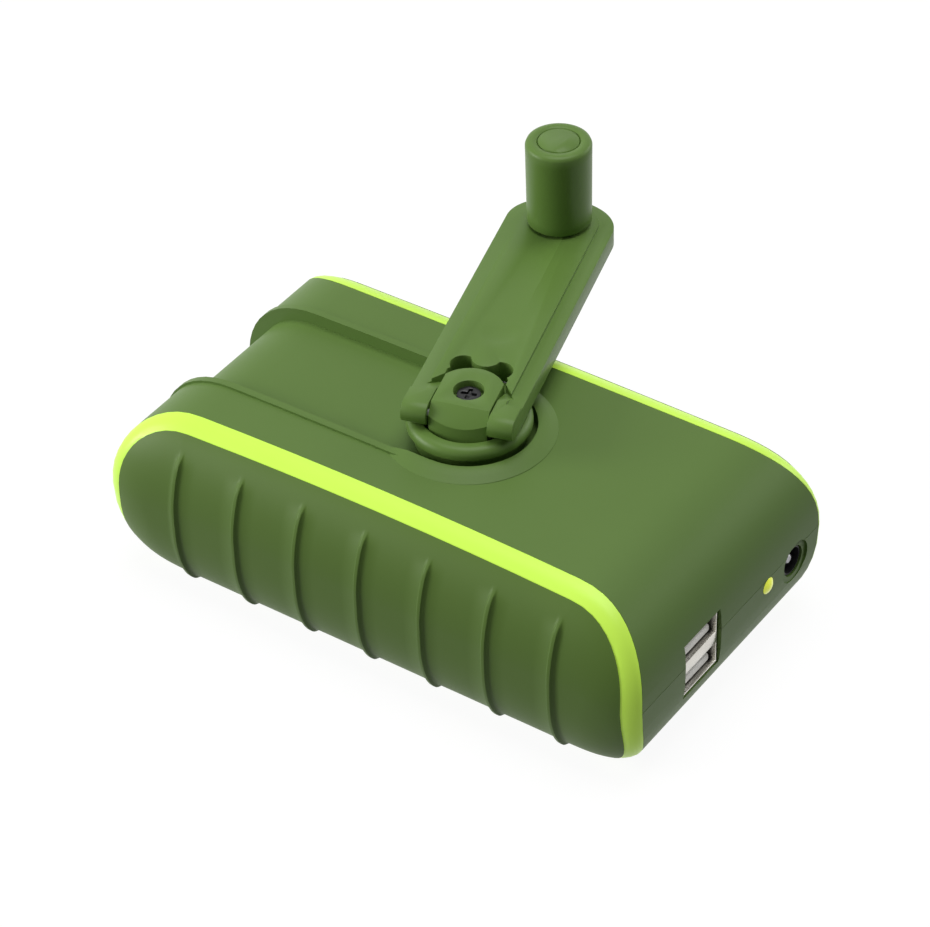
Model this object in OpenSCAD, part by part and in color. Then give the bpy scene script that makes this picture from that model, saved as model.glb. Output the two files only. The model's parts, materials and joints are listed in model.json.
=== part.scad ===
// Hand crank power bank: a two-part olive case with lime trims and ribbed side caps,
// a folding crank on top, and a step-up gear train, generator, two cells and a board inside.
// X runs along the case with the sockets at +X, Y runs across it, Z is up from the table.

/* [Body] */
// Length over both rounded ends
body_l = 135; // [130:1:145]
// Width over both side caps
body_w = 77; // [76:0.5:84]
// Height from table to top
body_h = 43; // [42.5:0.5:50]
// Wall of the case
wall = 2.4; // [2:0.1:2.6]
// Fall of the top from its middle to its ends
crown = 1.2; // [0.5:0.1:2]
// Length of each rounded end
end_l = 20; // [19:0.5:21]
// Squareness of the rounded ends above mid height, 2 is an ellipse
end_power = 2.3; // [2:0.1:2.8]
// The same below mid height
end_low_power = 2.9; // [2.3:0.1:3]
// Width of each side, from the trim's inner line along the top outward
side_w = 12; // [11.5:0.5:13.5]
// How much further out the trim lies at mid height
trim_flare = 8.2; // [6:0.2:8.4]
// Squareness of the bulging side above mid height, 2 is an ellipse
side_power = 1.8; // [1.7:0.05:2.2]
// The same below mid height
low_power = 2.2; // [1.8:0.05:2.3]
// How much of the side's inset shows at the ends
end_share = 0.6; // [0.5:0.05:0.7]
// Flat ridge left at the widest line of a side cap, half its height
ridge = 1.5; // [1:0.1:3]
// Seam between two mouldings
seam = 0.12; // [0.08:0.01:0.2]

/* [Trim and side caps] */
// Wall of the trim, from its outer face inward
trim_wall = 2.4; // [2:0.1:2.6]
// Depth of a cap, from its flat hidden side to its widest line
cap_depth = 6.5; // [6:0.1:7]
// Inset of that flat side from the outline
cap_back_inset = 9.5; // [9:0.1:10]
// Width of the flat side round the cap's pocket
cap_back_w = 2.8; // [2.5:0.1:3.5]
// Wall left behind the pocket at the widest line
cap_wall = 3.8; // [3.4:0.1:4.2]
// Number of ribs on a cap
rib_count = 7; // [3:1:7]
// Spacing of the ribs
rib_pitch = 15.95; // [14:0.05:16.2]
// Thickness of a rib
rib_t = 1.2; // [1:0.1:1.8]
// How far a rib stands out
rib_rise = 0.8; // [0.5:0.1:1.2]

/* [Hub recess and channel] */
// Crank axis along the case
hub_x = 2.5; // [0:0.5:5]
// Radius of the round recess
recess_r = 14.4; // [14.3:0.1:15]
// Depth of the recess
recess_d = 2.6; // [2.4:0.1:2.8]
// Height of the rim round the recess
rim_h = 1.4; // [0.8:0.1:1.6]
// Width of the sloping rim
rim_w = 4.2; // [3:0.2:6]
// Width of the flat top of the rim
rim_flat = 1.2; // [0.8:0.1:1.6]
// Width of the storage channel
channel_w = 29; // [28:0.5:30]
// Depth of the storage channel
channel_d = 2.6; // [2:0.1:2.8]
// Height of the lip beside the channel
channel_lip = 0.5; // [0.3:0.1:0.8]
// Width of that lip
channel_lip_w = 1.6; // [1:0.1:2.5]
// Height at which the channel ends on the rounded end
channel_end_z = 25; // [24:0.5:28]

/* [Sockets] */
// Height of the USB sockets and the indicator
socket_z = 19.5; // [19:0.5:20]
// Place of the stacked USB socket across the case
usb_y = -11.4; // [-13:0.1:-10]
// Width of the USB shell
usb_w = 13.2; // [13:0.1:13.4]
// Height of the stacked USB shell
usb_h = 14; // [13.8:0.1:14.2]
// Depth of the USB shell
usb_l = 16.5; // [15:0.5:16.5]
// Sheet of the USB shell
usb_sheet = 0.4; // [0.3:0.05:0.5]
// Height of one USB opening
usb_slot_h = 5.1; // [5:0.1:5.2]
// Clear edge round the USB shell in its window
usb_edge = 0.3; // [0.2:0.05:0.4]
// How far the USB shell sits behind the end face
usb_back = 2.1; // [1.8:0.1:2.6]
// Width of a USB tongue
tongue_w = 10.6; // [10:0.1:11]
// Thickness of a USB tongue
tongue_t = 1.8; // [1.6:0.1:2]
// Height of a tongue above the floor of its opening
tongue_low = 0.5; // [0.4:0.1:0.9]
// How far a tongue ends behind the shell mouth
tongue_back = 1; // [0.8:0.1:1.5]
// Distance between the indicator and the barrel socket
led_gap = 11.1; // [10.3:0.1:12.3]
// Radius of the indicator
led_r = 1.9; // [1.5:0.1:2.1]
// Distance of the barrel socket from the trim's inner line
dc_in = 1.2; // [0.9:0.1:2]
// How much lower than the USB sockets the barrel socket sits
dc_drop = 1.5; // [1:0.1:1.6]
// How far the barrel socket sits behind the end face
dc_back = 4.4; // [4.3:0.1:4.8]
// Radius of the hole in front of the barrel socket
dc_hole_r = 3.6; // [3.4:0.1:4.2]
// Radius of the shallow ring round that hole
dc_ring_r = 5; // [4.8:0.1:5.8]
// Depth of that ring
dc_ring_d = 0.6; // [0.4:0.1:0.8]
// Radius of the barrel bore
dc_bore_r = 3.15; // [3:0.05:3.2]
// Depth of the barrel bore
dc_bore_d = 9; // [8:0.5:10]
// Radius of the centre pin
dc_pin_r = 1.05; // [1:0.05:1.25]

/* [Crank] */
// Direction in which the unfolded arm points
crank_angle = 106; // [0:1:359]
// Radius of the hub flange
flange_r = 13.4; // [13:0.1:13.8]
// Height of the flange above the top of the case
flange_h = 4.4; // [4:0.1:4.5]
// Radius of the neck under the flange
neck_r = 11.8; // [11.4:0.1:12.2]
// Height of the flange's underside above the top of the case
neck_h = 1.4; // [1:0.1:1.4]
// Rounding of the upper edge of the flange
flange_round = 1.8; // [1:0.1:2]
// Radius of the dish in the top of the flange
dish_r = 10; // [9.6:0.1:10.2]
// Height of the dish's floor above the top of the case
dish_h = 1.8; // [1.4:0.1:2.4]
// Width of the hub block
block_w = 12.8; // [12.4:0.1:13.2]
// Height of the hub block above the top of the case
block_h = 10.1; // [9.8:0.1:10.2]
// Distance from the crank axis to the near face of the block
block_near = 8.9; // [8.8:0.1:9.2]
// Radius of that curved face
block_near_r = 18; // [16:0.5:20]
// Radius of the far end of the block
block_far_r = 7.5; // [7:0.1:7.7]
// Distance of the hinge behind the crank axis
hinge_back = 6.2; // [6.1:0.1:6.3]
// Height of the hinge above the top of the case
hinge_h = 7.3; // [7.2:0.1:7.4]
// Radius of the hinge barrels
barrel_r = 2.6; // [2.4:0.1:2.6]
// Radius of the hinge pin
hinge_pin_r = 1; // [0.9:0.05:1.1]
// Distance from the crank axis to the knob
arm_reach = 63; // [63:0.5:66]
// Width of the arm
arm_w = 24.4; // [23.8:0.1:24.6]
// Length of the arm beyond the knob's axis
arm_tip = 9.6; // [9:0.1:12]
// Height of the arm's underside above the top of the case
arm_under = 4.8; // [4.7:0.1:5.2]
// Height of the arm's middle panel above the top of the case
arm_top = 9.9; // [9.7:0.1:9.9]
// Width of a side band
band_w = 3.4; // [3:0.1:4]
// How far the side bands lie below the middle panel
band_drop = 0.7; // [0.4:0.1:0.9]
// Radius of the cut-out round the hub
cutout_r = 9; // [8.6:0.1:9.2]
// Radius of the two scallops in the cut-out
scallop_r = 2.9; // [2.6:0.1:3]
// Radius of the tongue between them
tongue_r = 3.2; // [2.8:0.1:3.4]

/* [Knob] */
// Radius of the knob at its base
knob_r = 7.2; // [7:0.1:7.4]
// How much wider the knob is at its top
knob_flare = 0.15; // [0:0.05:0.3]
// Length of the knob
knob_h = 21; // [19:0.5:22]
// Gap under the knob
knob_gap = 0.5; // [0.4:0.1:0.6]
// Radius of the plug in the top of the knob
plug_r = 4.7; // [4.6:0.1:4.9]
// Rounding of the knob's edges
knob_round = 1; // [0.6:0.1:1.4]
// Radius of the knob axle
knob_axle_r = 2.5; // [2.2:0.1:2.7]
// Radius of the axle's head
knob_head_r = 3.8; // [3.6:0.1:4]

/* [Gear train] */
// Teeth of the drive gear
drive_teeth = 44; // [44:11:44]
// Teeth of the first pinion
pinion_one_teeth = 11; // [11:1:11]
// Tooth module of the first pair
mod_one = 0.8; // [0.8:0.1:0.8]
// Teeth of the first wheel
wheel_one_teeth = 30; // [30:10:30]
// Teeth of the second pinion
pinion_two_teeth = 10; // [10:1:10]
// Tooth module of the second pair
mod_two = 0.8; // [0.8:0.1:0.8]
// Teeth of the second wheel
wheel_two_teeth = 54; // [54:12:54]
// Teeth of the rotor pinion
rotor_teeth = 12; // [12:1:12]
// Tooth module of the third pair
mod_three = 0.5; // [0.5:0.1:0.5]
// Clearance between meshing flanks
backlash = 0.16; // [0.12:0.01:0.2]
// Direction from the crank to the first axle
angle_one = 200; // [196:1:202]
// Direction from the first axle to the second
angle_two = 170; // [166:1:172]
// Direction from the second axle to the rotor
angle_three = 110; // [106:1:112]
// Radius of the crank shaft
shaft_r = 3; // [2.8:0.1:3.2]
// Radius of the gear axles
axle_r = 1.5; // [1.3:0.1:1.6]
// Radius of the rotor shaft
rotor_shaft_r = 1; // [0.9:0.1:1.2]
// Radial play of every turning fit
play = 0.05; // [0.03:0.01:0.08]
// Thickness of a gearbox plate
plate_t = 1.5; // [1.2:0.1:1.5]

/* [Generator and cells] */
// Radius of the generator can
can_r = 11.5; // [11:0.1:11.7]
// Height of the generator can
can_h = 9; // [8:0.5:9]
// Wall of the can
can_wall = 0.8; // [0.6:0.1:1]
// Radius of a cell
cell_r = 9.15; // [9:0.05:9.2]
// Length of a cell
cell_l = 65; // [64:0.5:65.2]
// Start of the cells along the case
cell_x = -45.4; // [-46:0.1:-44]
// Sideways place of each cell
cell_y = 9.5; // [9.3:0.1:10]

/* [Board] */
// Gap between the board and the socket end of the case
board_gap = 5.5; // [5.5:0.5:6.5]
// Length of the board along the case
board_l = 18; // [17.5:0.5:18.5]
// How far the board runs past the USB shell
board_past_usb = 2.5; // [2.5:0.5:3]
// How far the board runs past the barrel socket
board_past_dc = 0.4; // [0.3:0.1:0.5]
// Thickness of the board
board_t = 1.6; // [1.2:0.2:1.6]

/* [Screws] */
// Radius of the case screws
screw_r = 1.4; // [1.3:0.1:1.5]
// Radius of their heads
screw_head_r = 2.7; // [2.5:0.1:2.8]
// Radius of the bosses that take them
boss_r = 3.5; // [3.4:0.1:3.7]
// Radius of the small screws inside
small_screw_r = 0.9; // [0.8:0.1:1]

/* [Hidden] */
$fn = 72;
over = 1;
clear = 0.3;
half_h = body_h / 2;
half_w = body_w / 2;
trim_y = half_w - side_w;
cap_back_y = half_w - cap_depth;
olive = [0.24, 0.36, 0.13];
dark_olive = [0.2, 0.31, 0.11];
lime = [0.62, 0.85, 0.16];
steel = [0.72, 0.72, 0.74];

// Places round the outline of the case, seen from its side. An end spot holds a sign along X, a
// sign up or down and an angle from the top or bottom to mid height, a run spot holds its own x
end_steps = 12;
top_steps = 8;
reach = body_l / 2 - end_l;
right_end = concat(
    [for (k = [0 : end_steps]) [1, 1, 90 * k / end_steps]],
    [for (k = [end_steps - 1 : -1 : 0]) [1, -1, 90 * k / end_steps]]
);
left_end = [for (k = [2 * end_steps : -1 : 0]) [-1, right_end[k][1], right_end[k][2]]];
function run(xs, up) = [for (x = xs) [x, up, 0, true]];
top_xs = [for (k = [1 : top_steps - 1]) reach * (2 * k / top_steps - 1)];
spots = concat(right_end, left_end, run(top_xs, 1));

// drop is the inset from top and bottom, pull the inset from the ends
function place(spot, drop, pull) =
    let (
        power = spot[1] > 0 ? end_power : end_low_power,
        round_l = end_l * (1 - drop / half_h),
        flat_l = body_l / 2 - pull - round_l,
        x = spot[3] ? spot[0] : spot[0] * (flat_l + round_l * pow(sin(spot[2]), 2 / power)),
        past = max(0, abs(x) - flat_l) / round_l,
        turn = spot[3] ? pow(1 - pow(past, power), 1 / power) : pow(cos(spot[2]), 2 / power),
        fall = spot[1] > 0 ? crown * pow(x / (body_l / 2), 2) : 0,
        rise = (half_h - drop - fall) * turn
    )
    [x, half_h + spot[1] * rise];
function outline(inset) = [for (s = spots) place(s, inset, inset)];

// The trim follows a line that swells outward at mid height
function level(z) = (z - half_h) / half_h;
function edge_y(z) = trim_y + trim_flare * (1 - pow(level(z), 2));
function spot_z(spot) = place(spot, 0, 0)[1];
// Share of the side's bulge that the trim takes, at the top and at mid height
trim_top_share = 0.36;
trim_mid_share = 0.66;
function trim_share(z) = trim_mid_share + (trim_top_share - trim_mid_share) * pow(level(z), 2);
side_depth = half_h - ridge;
function power_at(spot) =
    side_power + (spot[1] > 0 ? 0 : (low_power - side_power) * (spot[3] ? 1 : pow(cos(spot[2]), 2)));
function side_inset(share, power) = side_depth * (1 - pow(1 - pow(share, power), 1 / power));
least = 0.0001;
function side_slope(share, power) =
    side_depth * pow(share, power - 1) * pow(max(1 - pow(share, power), least), 1 / power - 1);

// A place on the bulging side: share 0 is the trim's inner edge, 1 the widest line.
// extra goes inward along the outline, shift outward across the case, rise along the surface's normal
function side_point(spot, share, extra, shift, rise = 0) =
    let (
        bulge = half_w - edge_y(spot_z(spot)),
        slope = side_slope(share, power_at(spot)),
        out = [slope, bulge] * rise / norm([slope, bulge]),
        inset = side_inset(share, power_at(spot)),
        p = place(spot, inset + extra - out[1], inset * end_share + extra)
    )
    [p[0], max(edge_y(spot_z(spot)) + bulge * share + out[0], edge_y(p[1])) + shift, p[1]];
function flat_point(spot, inset, y) =
    let (p = place(spot, inset, inset))
    [p[0], y, p[1]];

// Skin over rings of equal length, open at its two ends or joined to a tube
function skin_faces(rings, n, joined) = [
    for (r = [0 : rings - (joined ? 1 : 2)])
        for (k = [0 : n - 1])
            let (
                a = r * n + k,
                b = r * n + (k + 1) % n,
                c = ((r + 1) % rings) * n + k,
                d = ((r + 1) % rings) * n + (k + 1) % n
            )
            each [[a, d, b], [a, c, d]]
];

// Vertical places, from the table up
floor_z = wall;
cell_z = floor_z + cell_r + clear / 3;
board_top = socket_z - usb_h / 2 - clear;
board_z = board_top - board_t;
base_z = cell_z + cell_r + 2 * clear;
wheel_t = 2.2;
wheel_two_z = base_z + plate_t + wall / 3;
wheel_one_z = wheel_two_z + wheel_t + plate_t;
drive_t = 3.2;
gear_gap = 1.6;
drive_z = wheel_one_z + wheel_t + gear_gap;
plate_gap = 1.1;
plate_z = drive_z + drive_t + plate_gap;
plate_top = plate_z + plate_t;
pinion_over = 0.4;

// Places of the turning axes
hub = [hub_x, 0];
function polar(r, a) = [r * cos(a), r * sin(a)];
function pitch_r(teeth, mod) = teeth * mod / 2;
axle_one = hub + polar(pitch_r(drive_teeth + pinion_one_teeth, mod_one), angle_one);
axle_two = axle_one + polar(pitch_r(wheel_one_teeth + pinion_two_teeth, mod_two), angle_two);
rotor = axle_two + polar(pitch_r(wheel_two_teeth + rotor_teeth, mod_three), angle_three);
can_z = plate_z - can_h;
end_plate_t = 0.8;

// Places on the board
dc_y = trim_y - dc_in;
dc_z = socket_z - dc_drop;
dc_body_w = 9;
led_y = dc_y - led_gap;
board_x = body_l / 2 - board_gap - board_l;
board_y0 = usb_y - usb_w / 2 - board_past_usb;
board_y1 = dc_y + dc_body_w / 2 + board_past_dc;

// Screw places
rear_screw_in = 10.5;
rear_screw_y = 18;
front_screw_in = 10.5;
front_screw_y = 21;
case_screw_spots = [
    for (side = [1, -1])
        each [
            [rear_screw_in - body_l / 2, side * rear_screw_y],
            [board_x - front_screw_in, side * front_screw_y]
        ]
];
plate_x0 = -50;
plate_x1 = 24;
plate_y0 = -23;
plate_y1 = 23.5;
post_in = 3.5;
rear_post_y = -17.5;
middle_post_x = -14;
gearbox_spots = [
    [plate_x1 - post_in, plate_y0 + post_in],
    [plate_x1 - post_in, plate_y1 - post_in],
    [plate_x0 + post_in, rear_post_y],
    [middle_post_x, plate_y1 - post_in]
];
post_r = 2.3;
board_edge = 2.7;
board_screw_spots = [
    [board_x + board_edge, board_y0 + board_edge],
    [board_x + board_edge, board_y1 - board_edge]
];

// Extrusions of an outline drawn in XZ along Y, and of a section drawn in YZ along X
module along_y(y0, y1) {
    translate([0, y1, 0])
        rotate([90, 0, 0])
            linear_extrude(y1 - y0)
                children();
}

module along_x(x0, x1) {
    translate([x0, 0, 0])
        rotate([90, 0, 90])
            linear_extrude(x1 - x0)
                children();
}

module box(low, high) {
    translate(low)
        cube(high - low);
}

module rod(x, y, z0, z1, r) {
    translate([x, y, z0])
        cylinder(r = r, h = z1 - z0);
}

module rod_x(x0, x1, y, z, r) {
    translate([x0, y, z])
        rotate([0, 90, 0])
            cylinder(r = r, h = x1 - x0);
}

// Band of the case between the two trims, inset all round
module band(inset) {
    edge_steps = 24;
    edge = [for (k = [0 : edge_steps]) let (z = body_h * k / edge_steps) [edge_y(z), z]];
    back = [for (k = [edge_steps : -1 : 0]) let (z = body_h * k / edge_steps) [-edge_y(z), z]];
    intersection() {
        along_y(-half_w, half_w)
            polygon(outline(inset));
        along_x(-body_l / 2 - over, body_l / 2 + over)
            polygon(concat(edge, back));
    }
}

// Everything that the two shells leave open at the socket end
module socket_cuts() {
    mouth = body_l / 2;
    inner = mouth - 2 * wall;
    box(
        [inner, usb_y - usb_w / 2 - usb_edge, socket_z - usb_h / 2 - usb_edge],
        [mouth + over, usb_y + usb_w / 2 + usb_edge, socket_z + usb_h / 2 + usb_edge]
    );
    rod_x(inner, mouth + over, dc_y, dc_z, dc_hole_r);
    rod_x(mouth - dc_ring_d, mouth + over, dc_y, dc_z, dc_ring_r);
    rod_x(inner, mouth + over, led_y, socket_z, led_r + play);
}

// Posts that grow out of the wall end halfway through it, and at the trims
module within_skin() {
    intersection() {
        band(wall / 2);
        union()
            children();
    }
}

module channel_slab(inset_out, inset_in, width, z0) {
    difference() {
        intersection() {
            along_y(-width / 2, width / 2)
                polygon(outline(inset_out));
            box([-body_l, -body_w, z0], [hub_x, body_w, body_h + wall]);
        }
        along_y(-body_w, body_w)
            polygon(outline(inset_in));
    }
}

module upper_shell() {
    color(olive)
    difference() {
        union() {
            intersection() {
                difference() {
                    band(0);
                    along_y(-body_w, body_w)
                        polygon(outline(wall));
                }
                box([-body_l, -body_w, half_h + seam / 2], [body_l, body_w, body_h + over]);
            }
            channel_slab(0, channel_d + wall, channel_w + 2 * wall, half_h + seam / 2);
            channel_slab(-channel_lip, 0, channel_w + 2 * channel_lip_w, channel_end_z);
            translate([hub_x, 0, 0])
                rotate_extrude()
                    polygon([
                        [0, body_h - recess_d - wall],
                        [recess_r + wall, body_h - recess_d - wall],
                        [recess_r + wall, body_h - wall / 2],
                        [recess_r + rim_w, body_h - wall / 2],
                        [recess_r + rim_w, body_h],
                        [recess_r + rim_flat, body_h + rim_h],
                        [0, body_h + rim_h]
                    ]);
            within_skin() {
                for (s = case_screw_spots)
                    rod(s[0], s[1], half_h + seam / 2, body_h, boss_r);
                for (s = gearbox_spots)
                    rod(s[0], s[1], plate_top, body_h, post_r + wall / 4);
            }
        }
        channel_slab(-rim_h - over, channel_d, channel_w, channel_end_z);
        rod(hub_x, 0, body_h - recess_d, body_h + rim_h + over, recess_r);
        rod(hub_x, 0, body_h - recess_d - 2 * wall, body_h, bush_r);
        for (s = case_screw_spots)
            rod(s[0], s[1], half_h - over, half_h + screw_grip, screw_r + play);
        for (s = gearbox_spots)
            rod(s[0], s[1], plate_top - over, plate_top + small_grip + clear, small_screw_r + play);
        socket_cuts();
    }
}

bush_wall = 1.2;
bush_r = shaft_r + bush_wall;
small_grip = 1.6;
screw_grip = 9;
counterbore_d = 5;

// Saddle ribs that carry the cells
saddle_h = 7;
saddle_t = 2;
saddle_spots = [-36, -13, 10];

module lower_shell() {
    color(olive)
    difference() {
        union() {
            intersection() {
                difference() {
                    band(0);
                    along_y(-body_w, body_w)
                        polygon(outline(wall));
                }
                box([-body_l, -body_w, -over], [body_l, body_w, half_h - seam / 2]);
            }
            for (x = saddle_spots)
                box([x, -cell_y - cell_r, floor_z / 2], [x + saddle_t, cell_y + cell_r, saddle_h]);
            within_skin() {
                for (s = case_screw_spots)
                    rod(s[0], s[1], 0, half_h - seam / 2, boss_r);
                for (s = board_screw_spots)
                    rod(s[0], s[1], 0, board_z, post_r);
                for (y = [usb_y, led_y])
                    rod(board_x + board_l - 2 * wall, y, 0, board_z, post_r);
            }
        }
        for (side = [-1, 1])
            rod_x(cell_x - over, cell_x + cell_l + over, side * cell_y, cell_z, cell_r + clear / 3);
        for (s = case_screw_spots) {
            rod(s[0], s[1], -over, half_h, screw_r + clear);
            rod(s[0], s[1], -over, wall + counterbore_d, screw_head_r + clear);
        }
        for (s = board_screw_spots)
            rod(s[0], s[1], floor_z + wall, board_z + over, small_screw_r + play);
        socket_cuts();
    }
}

// Lime loop between the band and a side cap
module trim(side) {
    steps = 4;
    function ring(k, extra) = [
        for (s = spots) side_point(s, trim_share(spot_z(s)) * k / steps, extra, seam)
    ];
    rings = concat([for (k = [0 : steps]) ring(k, 0)], [for (k = [steps, 0]) ring(k, trim_wall)]);
    color(lime)
    scale([1, side, 1])
        polyhedron(
            points = [for (r = rings) each r],
            faces = skin_faces(len(rings), len(spots), true)
        );
}

// Ribs start and end at these shares of the side's bulge, above and below mid height
rib_top_share = 0.64;
rib_low_share = 0.45;
rib_fade_share = 0.09;
rib_foot_w = 0.2;
rib_crest_share = 0.3;
function rib_rise_at(share, up) =
    let (start = up > 0 ? rib_top_share : rib_low_share)
    rib_rise * min(1, max(0, (share - start) / rib_fade_share));
rib_xs = [
    for (k = [0 : rib_count - 1])
        let (
            x = (k - (rib_count - 1) / 2) * rib_pitch,
            foot = rib_t / 2 + rib_foot_w,
            crest = rib_t * rib_crest_share
        )
        each [x - foot, x - crest, x + crest, x + foot]
];
rib_crests = [for (k = [0 : len(rib_xs) - 1]) k % 4 == 1 || k % 4 == 2];
function backward(list) = [for (k = [len(list) - 1 : -1 : 0]) list[k]];
function bare(end) = [for (k = [1 : len(end) - 2]) end[k]];
bare_steps = end_steps - 1;
cap_spots = concat(bare(right_end), run(backward(rib_xs), -1), bare(left_end), run(rib_xs, 1));
cap_crests = concat(
    [for (s = bare(right_end)) false], backward(rib_crests),
    [for (s = bare(left_end)) false], rib_crests
);

// Bulging side cap with its upright ribs and a pocket in its hidden side
module cap(side) {
    steps = 14;
    n = len(cap_spots);
    function outer(k) = [
        for (j = [0 : n - 1])
            let (
                s = cap_spots[j],
                start = trim_share(spot_z(s)),
                share = start + (1 - start) * sin(90 * k / steps),
                gap = 2 * seam * (1 - k / steps)
            )
            side_point(s, share, 0, gap, cap_crests[j] ? rib_rise_at(share, s[1]) : 0)
    ];
    function flat(inset, y) = [for (s = cap_spots) flat_point(s, inset, y)];
    rim = [for (s = cap_spots) side_point(s, trim_share(spot_z(s)), trim_wall + clear / 2, 2 * seam)];
    mouth = cap_back_inset + cap_back_w;
    rings = concat(
        [flat(mouth + cap_back_w / 4, half_w - cap_wall), flat(mouth, cap_back_y)],
        [flat(cap_back_inset, cap_back_y), rim],
        [for (k = [0 : steps]) outer(k)]
    );
    last = (len(rings) - 1) * n;
    function twin(k) = (2 * bare_steps - k + n) % n;
    closing = [
        for (k = [bare_steps : 3 * bare_steps + len(rib_xs)])
            let (quad = [k, k + 1, twin(k + 1), twin(k)])
            each [
                if (quad[1] != quad[2]) [last + quad[0], last + quad[2], last + quad[1]],
                if (quad[0] != quad[3]) [last + quad[0], last + quad[3], last + quad[2]]
            ]
    ];
    color(dark_olive)
    scale([1, side, 1])
        polyhedron(
            points = [for (r = rings) each r],
            faces = concat(
                [[for (k = [0 : n - 1]) k]],
                skin_faces(len(rings), n, false),
                closing
            )
        );
}

case_head_h = 2;
module case_screws() {
    color(steel)
    for (s = case_screw_spots) {
        head_z = wall + counterbore_d;
        rod(s[0], s[1], head_z - case_head_h, head_z, screw_head_r);
        rod(s[0], s[1], head_z - over, half_h + screw_grip - over, screw_r);
    }
}

module shaft_bush() {
    color([0.72, 0.55, 0.3])
    translate([hub_x, 0, 0])
        difference() {
            rod(0, 0, body_h - recess_d - wall, body_h - recess_d, bush_r - play / 2);
            rod(0, 0, body_h - recess_d - wall - over, body_h, shaft_r + play);
        }
}

module battery_cells() {
    nub_r = 2.8;
    nub_h = 0.8;
    color([0.2, 0.45, 0.7])
    for (side = [-1, 1]) {
        near = cell_x + (side < 0 ? nub_h : 0);
        far = cell_x + cell_l - (side < 0 ? 0 : nub_h);
        rod_x(near, far, side * cell_y, cell_z, cell_r);
        rod_x(cell_x, cell_x + cell_l, side * cell_y, cell_z, nub_r);
    }
}

tab_t = 0.3;
tab_w = 7;
tab_h = 9;
module battery_tabs() {
    color(steel) {
        box(
            [cell_x - tab_t, -cell_y - tab_w / 2, cell_z - tab_h / 2],
            [cell_x, cell_y + tab_w / 2, cell_z + tab_h / 2]
        );
        for (side = [-1, 1])
            box(
                [cell_x + cell_l, side * cell_y - tab_w / 2, cell_z - tab_h / 2],
                [cell_x + cell_l + tab_t, side * cell_y + tab_w / 2, cell_z + tab_h / 2]
            );
    }
}

lead_r = 0.75;
lead_on_board = 2;
module battery_leads() {
    color([0.75, 0.1, 0.08])
    for (side = [-1, 1])
        rod_x(cell_x + cell_l + tab_t, board_x + lead_on_board, side * cell_y, board_top + lead_r, lead_r);
}

module main_board() {
    color([0.08, 0.32, 0.2])
    difference() {
        box([board_x, board_y0, board_z], [board_x + board_l, board_y1, board_top]);
        for (s = board_screw_spots)
            rod(s[0], s[1], board_z - over, board_top + over, small_screw_r + clear);
    }
}

chip_h = 1.6;
// Each chip: start and end along the board and across the case
chips = [[5, 10, -3, 3], [5, 9, 13, 18]];
module board_chips() {
    color([0.12, 0.12, 0.13])
    for (c = chips)
        box([board_x + c[0], c[2], board_top], [board_x + c[1], c[3], board_top + chip_h]);
}

coil_r = 3;
coil_h = 5;
coil_spot = [board_x + 15, 3];
module board_coil() {
    color([0.25, 0.25, 0.27])
    difference() {
        rod(coil_spot[0], coil_spot[1], board_top, board_top + coil_h, coil_r);
        rod(coil_spot[0], coil_spot[1], board_top + coil_h / 2, board_top + coil_h + over, coil_r / 3);
    }
}

capacitor_r = 2.5;
// Each capacitor: place along the board, place across the case, height
capacitors = [[15, 9, 8], [15, 17.5, 4]];
module board_capacitors() {
    color([0.3, 0.32, 0.5])
    for (c = capacitors)
        rod(board_x + c[0], c[1], board_top, board_top + c[2], capacitor_r);
}

board_screw_l = 5;
module board_screws() {
    color(steel)
    for (s = board_screw_spots) {
        rod(s[0], s[1], board_top, board_top + chip_h, 2 * small_screw_r);
        rod(s[0], s[1], board_z - board_screw_l, board_top, small_screw_r);
    }
}

usb_x = body_l / 2 - usb_back;
usb_slot_z = usb_h / 2 - usb_sheet - usb_slot_h / 2;
usb_slots = [socket_z - usb_slot_z, socket_z + usb_slot_z];
usb_pocket_d = 9;

module usb_shell() {
    color(steel)
    difference() {
        box(
            [usb_x - usb_l, usb_y - usb_w / 2, socket_z - usb_h / 2],
            [usb_x, usb_y + usb_w / 2, socket_z + usb_h / 2]
        );
        box(
            [usb_x - usb_l - over, usb_y - usb_w / 2 + usb_sheet, socket_z - usb_h / 2 + usb_sheet],
            [usb_x - usb_pocket_d, usb_y + usb_w / 2 - usb_sheet, socket_z + usb_h / 2 - usb_sheet]
        );
        for (z = usb_slots)
            box(
                [usb_x - usb_pocket_d - over, usb_y - usb_w / 2 + usb_sheet, z - usb_slot_h / 2],
                [usb_x + over, usb_y + usb_w / 2 - usb_sheet, z + usb_slot_h / 2]
            );
    }
}

module usb_tongues() {
    color([0.85, 0.84, 0.8])
    for (z = usb_slots) {
        low = z - usb_slot_h / 2 + tongue_low;
        box(
            [usb_x - usb_pocket_d, usb_y - tongue_w / 2, low],
            [usb_x - tongue_back, usb_y + tongue_w / 2, low + tongue_t]
        );
    }
}

module usb_insulator() {
    color([0.08, 0.08, 0.08])
    box(
        [usb_x - usb_l, usb_y - usb_w / 2 + usb_sheet, socket_z - usb_h / 2 + usb_sheet],
        [usb_x - usb_pocket_d, usb_y + usb_w / 2 - usb_sheet, socket_z + usb_h / 2 - usb_sheet]
    );
}

dc_body_l = 13;
dc_x = body_l / 2 - dc_back;
module dc_jack_body() {
    color([0.1, 0.1, 0.1])
    difference() {
        box(
            [dc_x - dc_body_l, dc_y - dc_body_w / 2, board_top],
            [dc_x, dc_y + dc_body_w / 2, dc_z + dc_body_w / 2]
        );
        rod_x(dc_x - dc_bore_d, dc_x + over, dc_y, dc_z, dc_bore_r);
    }
}

module dc_jack_pin() {
    color(steel)
    rod_x(dc_x - dc_bore_d, dc_x - over, dc_y, dc_z, dc_pin_r);
}

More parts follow.
